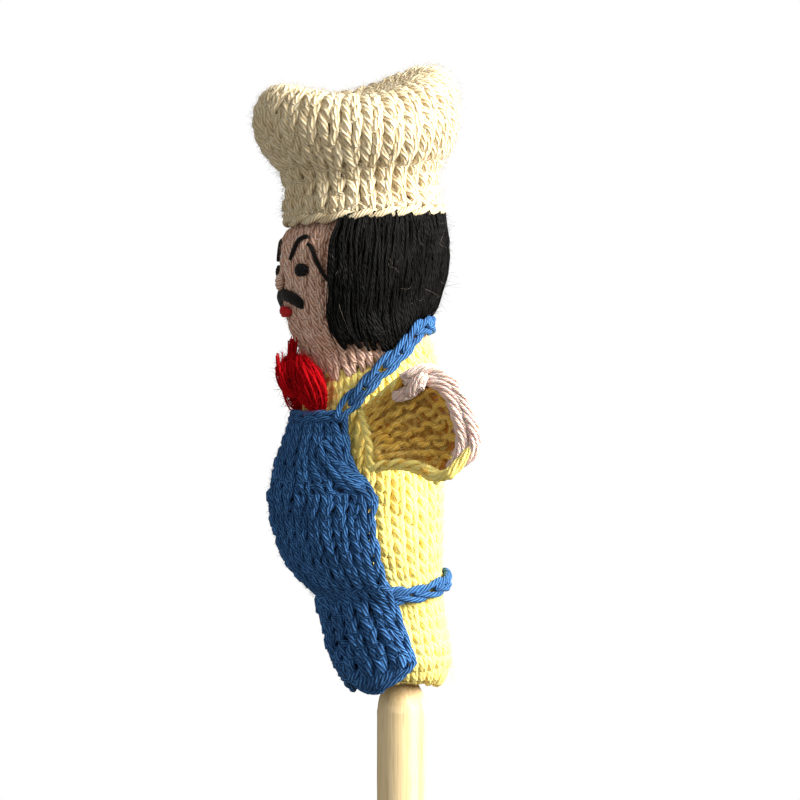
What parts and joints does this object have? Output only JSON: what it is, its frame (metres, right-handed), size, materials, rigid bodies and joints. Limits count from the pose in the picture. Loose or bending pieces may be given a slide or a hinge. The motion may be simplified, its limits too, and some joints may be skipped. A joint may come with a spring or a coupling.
{
  "type": "knitted stick puppet",
  "caption": "Knitted cook puppet with toque, apron and swinging sewn-on arms, pulled off upwards from a plain round wooden stick.",
  "frame": {"origin": "centre of the flat lower end of the wooden stick", "axes": "+Z along the stick towards the head, the puppet faces -Y, its left arm is on +X"},
  "size_m": [0.0556, 0.0336, 0.1648],
  "materials": {
    "birch": "sanded, unvarnished",
    "yellow_knit": "knitted wool",
    "skin_knit": "knitted wool",
    "cream_knit": "knitted wool",
    "black_yarn": "brushed wool",
    "black_thread": "embroidery thread",
    "red_yarn": "brushed wool",
    "red_thread": "embroidery thread",
    "blue_knit": "knitted wool",
    "filling": "loose fibre"
  },
  "bodies": {
    "stick": {"stick": "birch"},
    "puppet": {"body": "yellow_knit", "body_stuffing": "filling", "head": "skin_knit", "head_stuffing": "filling", "hat": "cream_knit", "hat_stuffing": "filling", "hair": "black_yarn", "left_eyebrow": "black_thread", "right_eyebrow": "black_thread", "left_eye": "black_thread", "right_eye": "black_thread", "nose": "skin_knit", "moustache": "black_thread", "mouth": "red_thread", "bow_knot": "red_yarn", "bow_loop_left": "red_yarn", "bow_loop_right": "red_yarn", "bow_tail_left": "red_yarn", "bow_tail_top": "red_yarn", "apron": "blue_knit", "neck_strap": "blue_knit", "waist_tie": "blue_knit"},
    "arm_left": {"left_arm": "yellow_knit", "left_hand": "skin_knit"},
    "arm_right": {"right_arm": "yellow_knit", "right_hand": "skin_knit"}
  },
  "joints": [
    {"name": "puppet_slide", "type": "slide", "parent": "stick", "child": "puppet", "axis": [0, 0, 1], "range_m": [0, 0.05]},
    {"name": "left_arm_swing", "type": "hinge", "parent": "puppet", "child": "arm_left", "pos_m": [0.0121, -0.0094, 0.1043], "axis": [0.2422, 0.0691, -0.9678], "range_deg": [-20, 60]},
    {"name": "right_arm_swing", "type": "hinge", "parent": "puppet", "child": "arm_right", "pos_m": [-0.0121, -0.0094, 0.1043], "axis": [0.2422, -0.0691, 0.9678], "range_deg": [-20, 60]}
  ]
}
